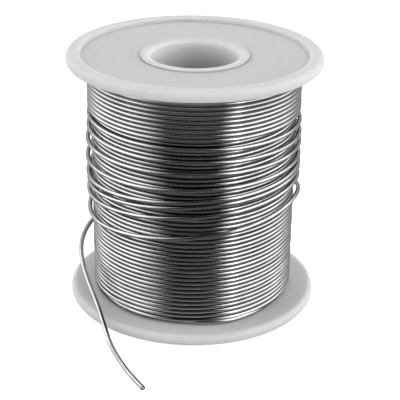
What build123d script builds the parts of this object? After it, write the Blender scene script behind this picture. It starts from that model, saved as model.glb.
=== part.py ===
from build123d import *

import os
from math import cos, pi, radians, sin, tan

# A spool of solder wire, standing on its lower flange. Millimetres, +Z up along the bore.
# The origin is the centre of the spool's underside.

# Spool
flange_diameter = 57.0
flange_thickness = 2.5
spool_height = 58.8
bore_diameter = 20.0
spigot_diameter = 24.3
barrel_diameter = 26.4
rim_width = 3.1
face_recess = 1.1
spigot_stand = 0.3
rim_round = 1.1
recess_round = 0.5
spigot_round = 0.2
bore_round = 0.7

# Wire
wire_diameter = 1.0
flux_diameter = 0.37
layer_pitch = 0.9
full_layers = 11
top_layer_bottom = 46.2

# Loose turns of the top layer: one row for each pass across the front, from the uppermost down.
# Each row gives (height, stand-off from the turns beneath) at the left, the front and the right.
loose_passes = [
    ((44.85, 0.00), (44.35, 0.0), (44.0, 0.10)),
    ((41.95, 0.10), (41.5, 0.0), (41.1, 0.20)),
    ((38.75, 0.35), (38.75, 0.0), (38.75, 0.25)),
    ((34.35, 0.40), (35.15, 0.0), (35.9, 0.20)),
    ((30.55, 0.35), (32.45, 0.0), (34.1, 0.25)),
    ((28.75, 0.20), (31.35, 0.0), (32.95, 0.20)),
    ((26.4, 0.30), (28.9, 0.0), (31.15, 0.20)),
    ((21.3, 0.15), (24.0, 0.0), (27.75, 0.60)),
]
left_azimuth = 195
front_azimuth = 270
right_azimuth = 345
loose_start_azimuth = 90
loose_start_height = 45.67
tail_azimuth = 150
corner_step = 30
riding_gap = 0.03

# Free end: out of the last turn, over the lower rim, down to the table and along it.
tail_route = [
    (-20.46, 11.82, 15.8),
    (-22.5, 8.54, 15.2),
    (-25.2, 2.2, 14.1),
    (-26.1, -4.4, 12.3),
    (-24.5, -11.6, 9.3),
    (-21.2, -18.7, 5.4),
    (-19.0, -24.5, 2.0),
    (-17.6, -28.9, 0.5),
    (-15.3, -35.1, 0.5),
    (-12.6, -41.1, 0.5),
    (-9.8, -45.9, 0.5),
]
arc_share = 0.45

# How far a cutting solid runs past what it cuts, and how closely an edge is matched.
overshoot = 1.0
tolerance = 0.01

flange_radius = flange_diameter / 2
bore_radius = bore_diameter / 2
spigot_radius = spigot_diameter / 2
barrel_radius = barrel_diameter / 2
winding_bottom = flange_thickness
winding_top = spool_height - flange_thickness
spigot_bottom = face_recess - spigot_stand
spigot_top = spool_height - spigot_bottom
base_radius = barrel_radius + full_layers * layer_pitch
top_layer_radius = base_radius + layer_pitch
riding_radius = base_radius + wire_diameter / 2 + riding_gap


def disc(radius, low, high):
    """A solid cylinder about the spool's axis, from height low to height high."""
    return Pos(0, 0, low) * Cylinder(radius, high - low, align=(Align.CENTER, Align.CENTER, Align.MIN))


def ring(outer, inner, low, high):
    """A tube about the spool's axis."""
    return disc(outer, low, high) - disc(inner, low - overshoot, high + overshoot)


def circles(shape, radius, height):
    """The circular edges of a given radius at a given height."""
    return [
        edge
        for edge in shape.edges().filter_by(GeomType.CIRCLE)
        if abs(edge.radius - radius) < tolerance and abs(edge.center().Z - height) < tolerance
    ]


def make_flange():
    """The lower flange: a flat web inside a thicker, rounded rim, recessed on its outer face."""
    recess_radius = flange_radius - rim_width
    flange = ring(flange_radius, spigot_radius, 0, flange_thickness)
    flange -= disc(recess_radius, -overshoot, face_recess)
    flange = fillet(circles(flange, flange_radius, 0), rim_round)
    flange = fillet(circles(flange, flange_radius, flange_thickness), rim_round)
    flange = fillet(circles(flange, recess_radius, 0), recess_round)
    return fillet(circles(flange, recess_radius, face_recess), recess_round)


def turned_over(shape):
    """A part of the lower half, turned over to the upper half."""
    return Pos(0, 0, spool_height) * Rot(180, 0, 0) * shape


def make_core_tube():
    """The barrel that the wire is wound on, with a spigot at each end that carries a flange."""
    tube = disc(barrel_radius, winding_bottom, winding_top)
    tube += disc(spigot_radius, spigot_bottom, spigot_top)
    tube -= disc(bore_radius, -overshoot, spool_height + overshoot)
    for height in (spigot_bottom, spigot_top):
        tube = fillet(circles(tube, spigot_radius, height), spigot_round)
        tube = fillet(circles(tube, bore_radius, height), bore_round)
    return tube


def make_full_layer(number):
    """One full layer of touching turns, from flange to flange, as its outer shape."""
    inner = barrel_radius + (number - 1) * layer_pitch
    return ring(inner + layer_pitch, inner, winding_bottom, winding_top)


def on_winding(azimuth, radius, height):
    """A point from its azimuth in degrees, its distance from the axis and its height."""
    return (radius * cos(radians(azimuth)), radius * sin(radians(azimuth)), height)


def loose_stations():
    """(azimuth, height, stand-off) along the loose turns, with the azimuth running on past 360."""
    stations = [(loose_start_azimuth, loose_start_height, 0.0)]
    for number, heights in enumerate(loose_passes):
        for azimuth, (height, stand_off) in zip((left_azimuth, front_azimuth, right_azimuth), heights):
            stations.append((azimuth + 360 * number, height, stand_off))
    last = tail_azimuth + 360 * len(loose_passes)
    return stations + [(last, tail_route[0][2], 0.0)]


def between(stations, azimuth):
    """Height and stand-off at an azimuth, in proportion between the stations each side of it."""
    for (a, low, near), (b, high, far) in zip(stations, stations[1:]):
        if azimuth <= b:
            share = (azimuth - a) / (b - a)
            return low + share * (high - low), near + share * (far - near)


def loose_route():
    """Corners of a polygon whose sides touch the winding, one every corner_step degrees."""
    stations = loose_stations()
    first, last = stations[0][0], stations[-1][0]
    half_step = corner_step / 2
    route = [on_winding(first, riding_radius, stations[0][1])]
    for number in range(int((last - first) / corner_step)):
        azimuth = first + half_step + number * corner_step
        height, stand_off = between(stations, azimuth)
        route.append(on_winding(azimuth, (riding_radius + stand_off) / cos(radians(half_step)), height))
    return route + [tail_route[0]]


def corner_radii(route):
    """The radius of the arc at each corner, as large as the corner's two runs allow."""
    points = [Vector(*point) for point in route]
    radii = []
    for before, corner, after in zip(points, points[1:], points[2:]):
        arriving, leaving = corner - before, after - corner
        half_turn = radians(arriving.get_angle(leaving)) / 2
        radii.append(arc_share * min(arriving.length, leaving.length) / tan(half_turn))
    return radii


def centre_line(route):
    """Straight runs joined by tangent arcs."""
    return FilletPolyline(*route, radius=corner_radii(route))


def sweep_round(line, diameter):
    """A round solid of one diameter along a line."""
    return sweep(Plane(origin=line @ 0, z_dir=line % 0) * Circle(diameter / 2), path=line)


def report_cord(name, solid, line, section):
    """Prints a swept solid's length, and its volume against its section times its length."""
    print(f"{name}: {line.length:.1f} mm long, volume ratio {solid.volume / (section * line.length):.4f}")


def write(node, shape):
    export_step(shape, f"parts/{node}.step")


os.makedirs("parts", exist_ok=True)

lower_flange = make_flange()
write("lower_flange", lower_flange)
write("upper_flange", turned_over(lower_flange))
write("core_tube", make_core_tube())
for layer in range(1, full_layers + 1):
    write(f"wire_layer_{layer:02d}", make_full_layer(layer))
write("wire_layer_12", ring(top_layer_radius, base_radius, top_layer_bottom, winding_top))

loose_line = centre_line(loose_route())
loose_turns = sweep_round(loose_line, wire_diameter)
write("loose_turns", loose_turns)

tail_line = centre_line(tail_route)
flux_core = sweep_round(tail_line, flux_diameter)
wire_tail = sweep_round(tail_line, wire_diameter) - flux_core
write("flux_core", flux_core)
write("wire_tail", wire_tail)

solder_section = pi * (wire_diameter**2 - flux_diameter**2) / 4
report_cord("loose_turns", loose_turns, loose_line, pi * wire_diameter**2 / 4)
report_cord("wire_tail", wire_tail, tail_line, solder_section)
print("arc radii of the loose turns, smallest:", round(min(corner_radii(loose_route())), 1))
print("arc radii of the tail:", [round(radius, 1) for radius in corner_radii(tail_route)])
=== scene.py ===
from math import cos, pi, radians, sin

import bmesh
import bpy
from mathutils import Matrix, Vector, noise


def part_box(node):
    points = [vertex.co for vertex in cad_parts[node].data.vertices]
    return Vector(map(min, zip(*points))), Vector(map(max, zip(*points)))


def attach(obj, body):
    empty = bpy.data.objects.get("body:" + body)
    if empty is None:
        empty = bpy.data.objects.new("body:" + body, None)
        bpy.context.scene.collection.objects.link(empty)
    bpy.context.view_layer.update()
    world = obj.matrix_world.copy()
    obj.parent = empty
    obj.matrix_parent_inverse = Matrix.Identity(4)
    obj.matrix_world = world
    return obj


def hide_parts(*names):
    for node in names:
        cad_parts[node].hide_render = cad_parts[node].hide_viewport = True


# A spool of solder wire standing on a white table. Metres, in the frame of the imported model.
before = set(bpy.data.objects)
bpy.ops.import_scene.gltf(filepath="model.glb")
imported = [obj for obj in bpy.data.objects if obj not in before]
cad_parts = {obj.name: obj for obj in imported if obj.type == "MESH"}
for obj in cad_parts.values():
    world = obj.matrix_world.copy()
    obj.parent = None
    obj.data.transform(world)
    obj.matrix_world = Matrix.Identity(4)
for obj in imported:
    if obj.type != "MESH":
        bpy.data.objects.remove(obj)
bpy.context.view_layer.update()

# Camera: how far it stands from the middle of the spool, how high, and how it is then turned.
camera_distance = 0.290773
camera_elevation = 23.023
camera_pan = 0.32
camera_tilt = -1.238
camera_roll = -0.746
camera_lens = 113.77
sensor_width = 36.0

# Spool, read from the frame apart from its bore and the number of layers that don't show.
winding_top, spool_height = (corner.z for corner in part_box("upper_flange"))
base_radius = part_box("wire_layer_11")[1].x
top_layer_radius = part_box("wire_layer_12")[1].x
bore_radius = 0.010
inner_layers = 10

# Wire
wire_diameter = 0.001
wire_radius = wire_diameter / 2
flux_diameter = 0.00037
riding_gap = 0.00003
riding_radius = base_radius + wire_radius + riding_gap

# Azimuths: each pass of wire has its heights given at the first three, and layers meet at the back.
left_azimuth = 195
front_azimuth = 270
right_azimuth = 345
back_azimuth = 90

# Uppermost full layer: passes level across the front, each climbing to the next at the right.
full_layer_passes = 52
first_pass_height = 0.00351
close_passes = 16
close_pitch = 0.001003
last_pass_height = 0.0555
level_from = 232
climb_from = 286
climb_to = 346
climb_share = 0.8

# The pass from which the turns lie a little higher at the left, which opens a slight gap under it.
gap_pass = 10
gap_width = 0.00006

# Where the full layer begins: (azimuth, height, stand-off). The wire comes up out of the corner under
# the winding, is squeezed out beside the lower flange for a short way at the right of the front,
# goes back in, and comes out again at the left as the first pass.
layer_start = [
    (-270, 0.00300, -0.00100),
    (-220, 0.00300, -0.00045),
    (-98, 0.00300, -0.00030),
    (-84, 0.00300, 0.00045),
    (-66, 0.00300, 0.00062),
    (-54, 0.00310, 0.00020),
    (-42, 0.00315, -0.00055),
    (90, 0.00320, -0.00050),
    (205, 0.00330, -0.00050),
    (222, 0.00347, 0.00000),
]

# How far the first two passes are set down from the others, and by its number how much each pass
# above the first sags at the left, where the first is still in the corner.
set_down = (0.00013, 0.00005)
sag_azimuth = 212
sags = {1: 0.00042, 2: 0.00020}

# Tight turns of the top layer, down from the upper flange: passes one diameter apart, which lie a
# little higher at the left and a little lower where they start to climb.
tight_passes = 10
tight_top = 0.0555
tight_pitch = 0.001
tight_dip = 0.0001
tight_lift = 0.00015

# Loose turns of the top layer, as in the CAD model: one row for each pass across the front.
# Each row gives (height, stand-off from the turns beneath) at the left, the front and the right.
loose_passes = [
    ((0.04485, 0.00000), (0.04435, 0.0), (0.04400, 0.00010)),
    ((0.04195, 0.00010), (0.04150, 0.0), (0.04110, 0.00020)),
    ((0.03875, 0.00035), (0.03875, 0.0), (0.03875, 0.00025)),
    ((0.03435, 0.00040), (0.03515, 0.0), (0.03590, 0.00020)),
    ((0.03055, 0.00035), (0.03245, 0.0), (0.03410, 0.00025)),
    ((0.02875, 0.00020), (0.03135, 0.0), (0.03295, 0.00020)),
    ((0.02640, 0.00030), (0.02890, 0.0), (0.03115, 0.00020)),
    ((0.02130, 0.00015), (0.02400, 0.0), (0.02775, 0.00060)),
]
loose_start_height = 0.04567
tail_azimuth = 150

# Degrees round the spool over which the tight turns' wire comes up from the layer beneath.
emerging = 50

# Control points, and how far the wire strays from its ideal line: outwards, and up or down.
tight_points_per_turn = 24
loose_points_per_turn = 12
outward_stray = 0.00013
upward_stray = 0.00004
loose_stray = 0.00006
stray_length = 0.011

# Where each wire's unevenness is read from the noise, and how far off that of its other direction.
full_layer_seed = 3
tight_seed = 11
loose_seed = 17
seed_step = 5
noise_level = 0.5

# Free end, as in the CAD model.
tail_route = [
    (-0.02046, 0.01182, 0.0158),
    (-0.0225, 0.00854, 0.0152),
    (-0.0252, 0.0022, 0.0141),
    (-0.0261, -0.0044, 0.0123),
    (-0.0245, -0.0116, 0.0093),
    (-0.0212, -0.0187, 0.0054),
    (-0.0190, -0.0245, 0.0020),
    (-0.0176, -0.0289, 0.0005),
    (-0.0153, -0.0351, 0.0005),
    (-0.0126, -0.0411, 0.0005),
    (-0.0098, -0.0459, 0.0005),
]
flux_end_length = 0.0012
flux_end_stand = 0.00004
flux_end_sides = 20


# ---------------------------------------------------------------- camera


def make_camera():
    data = bpy.data.cameras.new("camera")
    data.lens = camera_lens
    data.sensor_width = sensor_width
    camera = bpy.data.objects.new("camera", data)
    bpy.context.scene.collection.objects.link(camera)
    elevation = radians(camera_elevation)
    back = Vector((0, -cos(elevation), sin(elevation)))
    place = Vector((0, 0, spool_height / 2)) + camera_distance * back
    camera.matrix_world = (
        Matrix.Translation(place)
        @ Matrix.Rotation(radians(90 - camera_elevation), 4, "X")
        @ Matrix.Rotation(radians(-camera_pan), 4, "Y")
        @ Matrix.Rotation(radians(camera_tilt), 4, "X")
        @ Matrix.Rotation(radians(-camera_roll), 4, "Z")
    )
    bpy.context.scene.camera = camera


# ---------------------------------------------------------------- wire


def on_winding(azimuth, radius, height):
    """A point from its azimuth in degrees, its distance from the axis and its height."""
    return Vector((radius * cos(radians(azimuth)), radius * sin(radians(azimuth)), height))


def wire_curve(name, points, steps, sides):
    """A round wire along a smooth curve: steps from one control point to the next, and sides round it."""
    curve = bpy.data.curves.new(name, "CURVE")
    curve.dimensions = "3D"
    curve.twist_mode = "Z_UP"
    curve.bevel_depth = 1
    curve.bevel_resolution = (sides - 4) // 2
    curve.resolution_u = steps
    curve.use_fill_caps = True
    spline = curve.splines.new("NURBS")
    spline.points.add(len(points) - 1)
    for place, point in zip(spline.points, points):
        place.co = (*point, 1)
        place.radius = wire_radius
    spline.order_u = 3
    spline.use_endpoint_u = True
    spline.use_smooth = True
    wire = bpy.data.objects.new(name, curve)
    bpy.context.scene.collection.objects.link(wire)
    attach(wire, "root")
    return wire


def ring_of_points(mesh, reach, distance, sides):
    """Points evenly round the Z axis, at one distance along it."""
    turns = [2 * pi * side / sides for side in range(sides)]
    return [mesh.verts.new((reach * cos(turn), reach * sin(turn), distance)) for turn in turns]


def make_flux_end():
    """The flux in the middle of the wire's cut end: a short rod with a low dome."""
    end = Vector(tail_route[-1])
    along = (end - Vector(tail_route[-2])).normalized()
    radius = flux_diameter / 2
    outline = [(-flux_end_length, radius), (0, radius)]
    outline += [(flux_end_stand * sin(a), radius * cos(a)) for a in (pi / 8, pi / 4, 3 * pi / 8)]
    mesh = bmesh.new()
    rings = [ring_of_points(mesh, reach, distance, flux_end_sides) for distance, reach in outline]
    for lower, upper in zip(rings, rings[1:]):
        for side in range(flux_end_sides):
            after = (side + 1) % flux_end_sides
            mesh.faces.new((lower[side], lower[after], upper[after], upper[side]))
    mesh.faces.new(rings[0][::-1])
    mesh.faces.new(rings[-1])
    for face in mesh.faces:
        face.smooth = True
    mesh.transform(Matrix.Translation(end) @ along.to_track_quat("Z", "Y").to_matrix().to_4x4())
    data = bpy.data.meshes.new("flux_core_end")
    mesh.to_mesh(data)
    mesh.free()
    flux = bpy.data.objects.new("flux_core_end", data)
    bpy.context.scene.collection.objects.link(flux)
    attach(flux, "root")
    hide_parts("flux_core")
    return flux


def make_tail():
    tail = wire_curve("free_wire_end", tail_route, steps=12, sides=32)
    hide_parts("wire_tail")
    return tail


def stray(azimuth, radius, seed):
    """A small smooth unevenness that changes along the wire and differs from turn to turn."""
    distance = radians(azimuth) * radius / stray_length
    return noise.noise(Vector((distance, seed, noise_level)))


def between(stations, azimuth):
    """Height and stand-off at an azimuth, in proportion between the stations each side of it."""
    for (a, low, near), (b, high, far) in zip(stations, stations[1:]):
        if azimuth <= b:
            share = (azimuth - a) / (b - a)
            return low + share * (high - low), near + share * (far - near)


def wound(stations, radius, points_per_turn, outward, upward, seed):
    """Corners of a polygon that follows the stations round the spool, with a little unevenness."""
    first, last = stations[0][0], stations[-1][0]
    step = 360 / points_per_turn
    points = []
    for number in range(int((last - first) / step)):
        azimuth = first + (number + 0.5) * step
        height, stand_off = between(stations, azimuth)
        height += upward * stray(azimuth, radius, seed)
        reach = radius + stand_off + outward * stray(azimuth, radius, seed + seed_step)
        points.append(on_winding(azimuth, reach / cos(radians(step / 2)), height))
    return points


def full_layer_stations():
    """(azimuth, height, stand-off) along the full layer, with the azimuth running on past 360."""
    close_top = first_pass_height + close_passes * close_pitch
    open_pitch = (last_pass_height - close_top) / (full_layer_passes - 1 - close_passes)
    stations = list(layer_start)
    for number in range(full_layer_passes):
        pitch = close_pitch if number < close_passes else open_pitch
        height = first_pass_height + number * close_pitch
        if number > close_passes:
            height = close_top + (number - close_passes) * open_pitch
        climb = climb_share * pitch if number < full_layer_passes - 1 else 0
        gap = gap_width if number >= gap_pass else 0
        if number < len(set_down):
            height -= set_down[number]
        if number in sags:
            stations.append((sag_azimuth + 360 * number, height - sags[number], 0.0))
        stations.append((level_from + 360 * number, height + gap, 0.0))
        stations.append((climb_from + 360 * number, height, 0.0))
        stations.append((climb_to + 360 * number, height + climb, 0.0))
    return stations + [(back_azimuth + 360 * full_layer_passes, winding_top - wire_radius, 0.0)]


def make_full_layer():
    """The uppermost full layer: one wire, wound upwards from the lower flange to the upper one."""
    radius = base_radius - wire_radius
    points = wound(
        full_layer_stations(),
        radius,
        tight_points_per_turn,
        outward_stray,
        upward_stray,
        full_layer_seed,
    )
    wire = wire_curve("full_layer_turns", points, steps=4, sides=16)
    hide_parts("wire_layer_11")
    return wire


def tight_stations():
    """(azimuth, height, stand-off) along the tight turns of the top layer."""
    stations = [(back_azimuth, winding_top - wire_radius, -wire_diameter)]
    stations.append((back_azimuth + emerging, winding_top - wire_radius, 0.0))
    lifts = ((left_azimuth, tight_lift), (climb_from, -tight_dip), (right_azimuth, 0))
    for number in range(tight_passes):
        height = tight_top - number * tight_pitch
        for azimuth, lift in lifts:
            stations.append((azimuth + 360 * number, height + lift, 0.0))
    return stations + [(back_azimuth + 360 * tight_passes, loose_start_height, 0.0)]


def loose_stations():
    """(azimuth, height, stand-off) along the loose turns, with the azimuth running on past 360."""
    stations = [(back_azimuth, loose_start_height, 0.0)]
    places = (left_azimuth, front_azimuth, right_azimuth)
    for number, heights in enumerate(loose_passes):
        for azimuth, (height, stand_off) in zip(places, heights):
            stations.append((azimuth + 360 * number, height, stand_off))
    last = tail_azimuth + 360 * len(loose_passes)
    return stations + [(last, tail_route[0][2], 0.0)]


def make_top_layer():
    """The unfinished top layer: tight turns down from the upper flange, then the loose ones."""
    tight = wound(
        tight_stations(),
        top_layer_radius - wire_radius,
        tight_points_per_turn,
        outward_stray,
        upward_stray,
        tight_seed,
    )
    loose = wound(
        loose_stations(),
        riding_radius,
        loose_points_per_turn,
        loose_stray,
        loose_stray,
        loose_seed,
    )
    points = tight + loose + [Vector(tail_route[0])]
    wire = wire_curve("top_layer_turns", points, steps=6, sides=20)
    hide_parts("wire_layer_12", "loose_turns")
    return wire


# ---------------------------------------------------------------- materials

# Each pair of colours or roughnesses goes from where the tone is 0 to where it is 1. A grain is how many
# times its noise changes in a metre along x, y and z, and outwards from the spool's axis.

# Solder
solder_colours = ((0.38, 0.38, 0.385), (0.50, 0.50, 0.505))
solder_edge_tint = (0.55, 0.55, 0.55, 1)
solder_roughness = (0.13, 0.07)
tarnish_grain = (260, 260, 700, 700)
tarnish_contrast = (0.35, 0.65)
tarnish_share = 0.55
drawn_line_grain = (120, 120, 9000, 9000)
drawn_line_share = 0.45
drawn_line_depth = 0.000006
drawn_line_strength = 0.35
tail_line_grain = (6.0, 40.0, 1.0)

# How deep under the outside of the full layer the painted shade in its grooves starts and is full, and
# its tone there.
groove_from = 0.00010
groove_to = 0.00035
groove_shade_tone = 0.36

# Plastic
flange_colours = ((0.477, 0.477, 0.471), (0.510, 0.510, 0.506))
tube_colours = ((0.524, 0.524, 0.518), (0.560, 0.560, 0.556))
plastic_roughness = (0.62, 0.50)
plastic_contrast = (0.3, 0.7)
plastic_gloss = 0.25
glow_depth = (0.0050, 0.0050, 0.00475)
ring_grain = (60, 60, 400, 2400)
ring_share = 0.6
cloud_grain = (140, 140, 140, 0)
fine_grain = (2600, 2600, 2600, 0)
plastic_relief_depth = 0.00002
plastic_relief_strength = 0.25

# How far outside the bore's radius its wall stops counting as wall, where the painted light starts and
# finishes fading below its ends, and the tone of the painted light near them and of the painted shade
# deep inside.
bore_edge = 0.0001
bore_fade_from = 0.0010
bore_fade_to = 0.0110
bore_painted_light_near = 1.26
bore_painted_shade_deep = 0.84

# Flux
flux_colours = ((0.64, 0.57, 0.42), (0.84, 0.79, 0.66))
flux_roughness = (0.25, 0.55)
fleck_grain = (14000, 14000, 14000, 0)
fleck_contrast = (0.45, 0.7)
flux_glow = 0.3
flux_glow_depth = (0.0003, 0.00018, 0.00006)


def new_material(name):
    material = bpy.data.materials.new(name)
    material.use_nodes = True
    tree = material.node_tree
    return material, tree, tree.nodes["Principled BSDF"]


def math_node(tree, operation, *values):
    node = tree.nodes.new("ShaderNodeMath")
    node.operation = operation
    for socket, value in zip(node.inputs, values):
        if isinstance(value, (int, float)):
            socket.default_value = value
        else:
            tree.links.new(value, socket)
    return node.outputs[0]


def sum_node(tree, first, first_share, second, second_share):
    """Two values added up, each times its share."""
    first_part = math_node(tree, "MULTIPLY", first, first_share)
    second_part = math_node(tree, "MULTIPLY", second, second_share)
    return math_node(tree, "ADD", first_part, second_part)


def step_node(tree, value, start, end, low, high):
    """Goes smoothly from low to high as value goes from start to end."""
    node = tree.nodes.new("ShaderNodeMapRange")
    node.interpolation_type = "SMOOTHSTEP"
    tree.links.new(value, node.inputs["Value"])
    for socket, number in zip(("From Min", "From Max", "To Min", "To Max"), (start, end, low, high)):
        node.inputs[socket].default_value = number
    return node.outputs["Result"]


def place_nodes(tree):
    """The place on the object as (x, y, z), and the distance from the spool's axis."""
    place = tree.nodes.new("ShaderNodeTexCoord").outputs["Object"]
    parts = tree.nodes.new("ShaderNodeSeparateXYZ")
    tree.links.new(place, parts.inputs[0])
    x, y, z = parts.outputs
    reach = math_node(tree, "SQRT", sum_node(tree, x, x, y, y))
    return x, y, z, reach


def grain_node(tree, parts, scales, detail=2.0):
    """Noise from 0 to 1 whose grain is as fine along x, y, z and the reach as its scales say."""
    joined = tree.nodes.new("ShaderNodeCombineXYZ")
    for part, scale, socket in zip(parts, scales, joined.inputs):
        tree.links.new(math_node(tree, "MULTIPLY", part, scale), socket)
    node = tree.nodes.new("ShaderNodeTexNoise")
    node.noise_dimensions = "4D"
    node.inputs["Scale"].default_value = 1.0
    node.inputs["Detail"].default_value = detail
    tree.links.new(joined.outputs[0], node.inputs["Vector"])
    tree.links.new(math_node(tree, "MULTIPLY", parts[3], scales[3]), node.inputs["W"])
    return node.outputs["Fac"]


def blend_node(tree, share, low, high):
    """A colour: low where share is 0 and high where it is 1."""
    node = tree.nodes.new("ShaderNodeMix")
    node.data_type = "RGBA"
    tree.links.new(share, node.inputs[0])
    node.inputs[6].default_value = (*low, 1)
    node.inputs[7].default_value = (*high, 1)
    return node.outputs[2]


def bump_node(tree, shader, height, distance, strength):
    node = tree.nodes.new("ShaderNodeBump")
    node.inputs["Strength"].default_value = strength
    node.inputs["Distance"].default_value = distance
    tree.links.new(height, node.inputs["Height"])
    tree.links.new(node.outputs[0], shader.inputs["Normal"])


def toned_node(tree, tone, colour):
    """The colour made lighter or darker: a tone of 1 leaves it as it is."""
    node = tree.nodes.new("ShaderNodeHueSaturation")
    tree.links.new(tone, node.inputs["Value"])
    tree.links.new(colour, node.inputs["Color"])
    return node.outputs["Color"]


def groove_shade_node(tree, reach):
    """Painted shade: darker down in the grooves of the full layer, between the turns, where little light
    reaches.
    """
    depths = (base_radius - groove_to, base_radius - groove_from)
    return step_node(tree, reach, *depths, groove_shade_tone, 1)


def bore_light_shade_node(tree, z, reach):
    """Painted light and shade: lighter on the bore's wall near its ends, where light comes in, than deep
    inside, where it is in shade.
    """
    middle = spool_height / 2
    from_middle = math_node(tree, "ABSOLUTE", math_node(tree, "SUBTRACT", z, middle))
    fade = (middle - bore_fade_to, middle - bore_fade_from)
    change = step_node(tree, from_middle, *fade, bore_painted_shade_deep - 1, bore_painted_light_near - 1)
    wall = step_node(tree, reach, bore_radius, bore_radius + bore_edge, 1, 0)
    return math_node(tree, "ADD", math_node(tree, "MULTIPLY", change, wall), 1)


def solder_finish(name, lines_along, shade_grooves=False):
    """Drawn solder: bright grey metal with fine lines along it, faint cloudy tarnish and, where asked,
    painted shade down in the grooves.
    """
    material, tree, shader = new_material(name)
    shader.inputs["Metallic"].default_value = 1.0
    shader.inputs["Specular Tint"].default_value = solder_edge_tint
    parts = place_nodes(tree)
    tarnish = step_node(tree, grain_node(tree, parts, tarnish_grain), *tarnish_contrast, 0, 1)
    lines = lines_along(tree, parts)
    tone = sum_node(tree, tarnish, tarnish_share, lines, drawn_line_share)
    colour = blend_node(tree, tone, *solder_colours)
    if shade_grooves:
        # Painted shade: the colour is darkened down in the grooves between the turns.
        colour = toned_node(tree, groove_shade_node(tree, parts[3]), colour)
    tree.links.new(colour, shader.inputs["Base Color"])
    tree.links.new(step_node(tree, tone, 0, 1, *solder_roughness), shader.inputs["Roughness"])
    bump_node(tree, shader, lines, drawn_line_depth, drawn_line_strength)
    return material


def round_the_spool(tree, parts):
    """Lines that run round the spool, along every wound turn."""
    return grain_node(tree, parts, drawn_line_grain, detail=1.0)


def along_the_tail(tree, _parts):
    """Lines that run along a single wire, from the place along it and the place round it."""
    places = tree.nodes.new("ShaderNodeTexCoord").outputs["UV"]
    stretch = tree.nodes.new("ShaderNodeMapping")
    stretch.inputs["Scale"].default_value = tail_line_grain
    tree.links.new(places, stretch.inputs["Vector"])
    node = tree.nodes.new("ShaderNodeTexNoise")
    node.inputs["Scale"].default_value = 1.0
    node.inputs["Detail"].default_value = 1.0
    tree.links.new(stretch.outputs[0], node.inputs["Vector"])
    return node.outputs["Fac"]


def plastic_finish(name, colours, paint_bore_light=False):
    """White moulded polystyrene: faint rings from its tool, soft depth, a fine uneven gloss and, where
    asked, painted light and shade in the bore.
    """
    material, tree, shader = new_material(name)
    parts = place_nodes(tree)
    rings = grain_node(tree, parts, ring_grain, detail=3.0)
    cloud = grain_node(tree, parts, cloud_grain, detail=3.0)
    grain = grain_node(tree, parts, fine_grain)
    mottle = sum_node(tree, rings, ring_share, cloud, 1 - ring_share)
    tone = step_node(tree, mottle, *plastic_contrast, 0, 1)
    colour = blend_node(tree, tone, *colours)
    if paint_bore_light:
        # Painted light and shade: the bore's wall is made lighter near its ends and darker deep inside.
        colour = toned_node(tree, bore_light_shade_node(tree, parts[2], parts[3]), colour)
    roughness = step_node(tree, mottle, *plastic_contrast, *plastic_roughness)
    tree.links.new(colour, shader.inputs["Base Color"])
    tree.links.new(roughness, shader.inputs["Roughness"])
    shader.inputs["Specular IOR Level"].default_value = plastic_gloss
    shader.inputs["Subsurface Weight"].default_value = 1.0
    shader.inputs["Subsurface Radius"].default_value = glow_depth
    shader.inputs["Subsurface Scale"].default_value = 1.0
    relief = sum_node(tree, rings, ring_share, grain, 1 - ring_share)
    bump_node(tree, shader, relief, plastic_relief_depth, plastic_relief_strength)
    return material


def flux_finish():
    """Pale rosin, with small lighter flecks."""
    material, tree, shader = new_material("pale_rosin")
    grain = grain_node(tree, place_nodes(tree), fleck_grain)
    fleck = step_node(tree, grain, *fleck_contrast, 0, 1)
    tree.links.new(blend_node(tree, fleck, *flux_colours), shader.inputs["Base Color"])
    tree.links.new(step_node(tree, fleck, 0, 1, *flux_roughness), shader.inputs["Roughness"])
    shader.inputs["Subsurface Weight"].default_value = flux_glow
    shader.inputs["Subsurface Radius"].default_value = flux_glow_depth
    shader.inputs["Subsurface Scale"].default_value = 1.0
    return material


# ---------------------------------------------------------------- studio

# Bearings are in degrees round the spool from the camera's side, to the right, and elevations in degrees.
# Each pair is where the light starts to change and where the change is complete. The change at the back
# goes by how far to the right a direction points, from -1 to 1.
dark_left = 0.020
dark_right = 0.046
dark_change = (-25.0, 25.0)
panel_light = 2.36
right_panel_edge = (29.0, 46.0)
left_panel_edge = (-28.0, -71.0)
panel_bottom = (0.0, -20.0)
panel_top = (53.0, 74.0)
strip_light = 1.76
strip_start = (43.0, 45.5)
strip_end = (49.0, 53.0)
front_low_light = 0.27
front_fade = (-6.0, 24.0)
dark_top = (78.0, 92.0)
ceiling_light = 0.34
ground_light = 0.12
right_panel_end = (104.0, 141.0)
left_panel_end = (-115.0, -145.0)
back_light_left = 0.95
back_light_right = 0.66
back_change = (-0.6, 0.6)
back_bottom = (-45.0, -75.0)

# Soft box for the plastic
front_light_distance = 0.55
front_light_bearing = 12.0
front_light_elevation = 7.0
front_light_size = 0.34
front_light_power = 1.12

# Table
floor_reach = 1.5
floor_glow_seen = 0.8
floor_glow_on_spool = 0.26
floor_grey = 0.42


def mix_node(tree, share, low, high):
    """A value: low where share is 0 and high where it is 1."""
    rest = math_node(tree, "SUBTRACT", 1, share)
    return sum_node(tree, rest, low, share, high)


def rising(tree, value, edge):
    """Goes from 0 to 1 as a value rises through an edge."""
    return step_node(tree, value, *edge, 0, 1)


def falling(tree, value, edge):
    """Goes from 0 to 1 as a value falls through an edge."""
    start, end = edge
    return step_node(tree, value, end, start, 1, 0)


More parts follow.
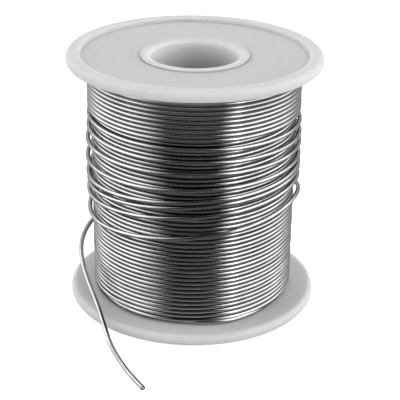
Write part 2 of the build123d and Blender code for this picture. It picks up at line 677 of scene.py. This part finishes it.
def studio_level(tree, direction):
    """How bright the studio is in a direction: soft boxes left and right, dark ahead, light behind."""
    parts = tree.nodes.new("ShaderNodeSeparateXYZ")
    tree.links.new(direction, parts.inputs[0])
    x, y, z = parts.outputs
    forward = math_node(tree, "MULTIPLY", y, -1)
    bearing = math_node(tree, "DEGREES", math_node(tree, "ARCTAN2", x, forward))
    elevation = math_node(tree, "DEGREES", math_node(tree, "ARCSINE", z))

    right = rising(tree, bearing, right_panel_edge)
    left = falling(tree, bearing, left_panel_edge)
    panels = math_node(tree, "ADD", right, left)
    behind_right = rising(tree, bearing, right_panel_end)
    behind_left = falling(tree, bearing, left_panel_end)
    behind = math_node(tree, "ADD", behind_right, behind_left)
    over_panels = math_node(tree, "MULTIPLY", rising(tree, elevation, panel_top), panels)
    overhead = math_node(tree, "MAXIMUM", over_panels, rising(tree, elevation, dark_top))
    strip_far = step_node(tree, bearing, *strip_end, 1, 0)
    strip = math_node(tree, "MULTIPLY", rising(tree, bearing, strip_start), strip_far)
    back_light = step_node(tree, x, *back_change, back_light_left, back_light_right)

    level = step_node(tree, bearing, *dark_change, dark_left, dark_right)
    level = mix_node(tree, rising(tree, elevation, front_fade), front_low_light, level)
    level = mix_node(tree, panels, level, panel_light)
    level = math_node(tree, "ADD", level, math_node(tree, "MULTIPLY", strip, strip_light))
    level = mix_node(tree, falling(tree, elevation, panel_bottom), level, ground_light)
    level = mix_node(tree, behind, level, back_light)
    level = mix_node(tree, overhead, level, ceiling_light)
    return mix_node(tree, falling(tree, elevation, back_bottom), level, ground_light)


def make_studio():
    """Lights the spool by studio_level, and shows the camera plain white."""
    world = bpy.data.worlds.new("studio")
    bpy.context.scene.world = world
    world.use_nodes = True
    tree = world.node_tree
    tree.nodes.clear()
    direction = tree.nodes.new("ShaderNodeTexCoord").outputs["Generated"]
    studio = tree.nodes.new("ShaderNodeBackground")
    studio.inputs["Color"].default_value = (1, 1, 1, 1)
    tree.links.new(studio_level(tree, direction), studio.inputs["Strength"])
    white = tree.nodes.new("ShaderNodeBackground")
    white.inputs["Color"].default_value = (1, 1, 1, 1)
    seen = tree.nodes.new("ShaderNodeLightPath").outputs["Is Camera Ray"]
    mix = tree.nodes.new("ShaderNodeMixShader")
    tree.links.new(seen, mix.inputs[0])
    tree.links.new(studio.outputs[0], mix.inputs[1])
    tree.links.new(white.outputs[0], mix.inputs[2])
    output = tree.nodes.new("ShaderNodeOutputWorld")
    tree.links.new(mix.outputs[0], output.inputs["Surface"])


def make_front_light():
    """A soft box beside the camera, for the plastic: it is left out of the wire's reflections."""
    data = bpy.data.lights.new("front_light", "AREA")
    data.shape = "DISK"
    data.size = front_light_size
    data.energy = front_light_power
    light = bpy.data.objects.new("front_light", data)
    bpy.context.scene.collection.objects.link(light)
    middle = Vector((0, 0, spool_height / 2))
    bearing = radians(front_light_bearing)
    elevation = radians(front_light_elevation)
    level = cos(elevation)
    towards = Vector((level * sin(bearing), -level * cos(bearing), sin(elevation)))
    light.location = middle + front_light_distance * towards
    light.rotation_euler = towards.to_track_quat("Z", "Y").to_euler()
    light.visible_glossy = False


def make_table():
    """A plain table that glows softly, so that the camera sees it nearly white."""
    mesh = bpy.data.meshes.new("table")
    square = ((-1, -1), (1, -1), (1, 1), (-1, 1))
    corners = [(x * floor_reach, y * floor_reach, 0) for x, y in square]
    mesh.from_pydata(corners, [], [(0, 1, 2, 3)])
    table = bpy.data.objects.new("table", mesh)
    bpy.context.scene.collection.objects.link(table)
    material = bpy.data.materials.new("white_table")
    material.use_nodes = True
    tree = material.node_tree
    tree.nodes.clear()
    seen = tree.nodes.new("ShaderNodeLightPath").outputs["Is Camera Ray"]
    strength = step_node(tree, seen, 0, 1, floor_glow_on_spool, floor_glow_seen)
    glow = tree.nodes.new("ShaderNodeEmission")
    tree.links.new(strength, glow.inputs["Strength"])
    paper = tree.nodes.new("ShaderNodeBsdfDiffuse")
    paper.inputs["Color"].default_value = (floor_grey, floor_grey, floor_grey, 1)
    both = tree.nodes.new("ShaderNodeAddShader")
    tree.links.new(glow.outputs[0], both.inputs[0])
    tree.links.new(paper.outputs[0], both.inputs[1])
    output = tree.nodes.new("ShaderNodeOutputMaterial")
    tree.links.new(both.outputs[0], output.inputs["Surface"])
    mesh.materials.append(material)
    table.visible_glossy = False


# ---------------------------------------------------------------- making


def finish_node(name, material):
    """Gives a CAD node its material and smooth shading."""
    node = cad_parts[name]
    node.data.materials.clear()
    node.data.materials.append(material)
    for face in node.data.polygons:
        face.use_smooth = True


make_camera()
flux_end = make_flux_end()
tail = make_tail()
full_layer = make_full_layer()
top_layer = make_top_layer()

wound_solder = solder_finish("drawn_solder", round_the_spool)
layer_solder = solder_finish("drawn_solder_layer", round_the_spool, shade_grooves=True)
tail_solder = solder_finish("drawn_solder_tail", along_the_tail)
flange_plastic = plastic_finish("white_plastic", flange_colours)
tube_plastic = plastic_finish("white_plastic_tube", tube_colours, paint_bore_light=True)
full_layer.data.materials.append(layer_solder)
top_layer.data.materials.append(wound_solder)
tail.data.materials.append(tail_solder)
flux_end.data.materials.append(flux_finish())
for name in ("upper_flange", "lower_flange"):
    finish_node(name, flange_plastic)
finish_node("core_tube", tube_plastic)
for number in range(1, inner_layers + 1):
    finish_node(f"wire_layer_{number:02d}", wound_solder)
make_studio()
make_front_light()
make_table()
bpy.context.scene.view_settings.view_transform = "Standard"
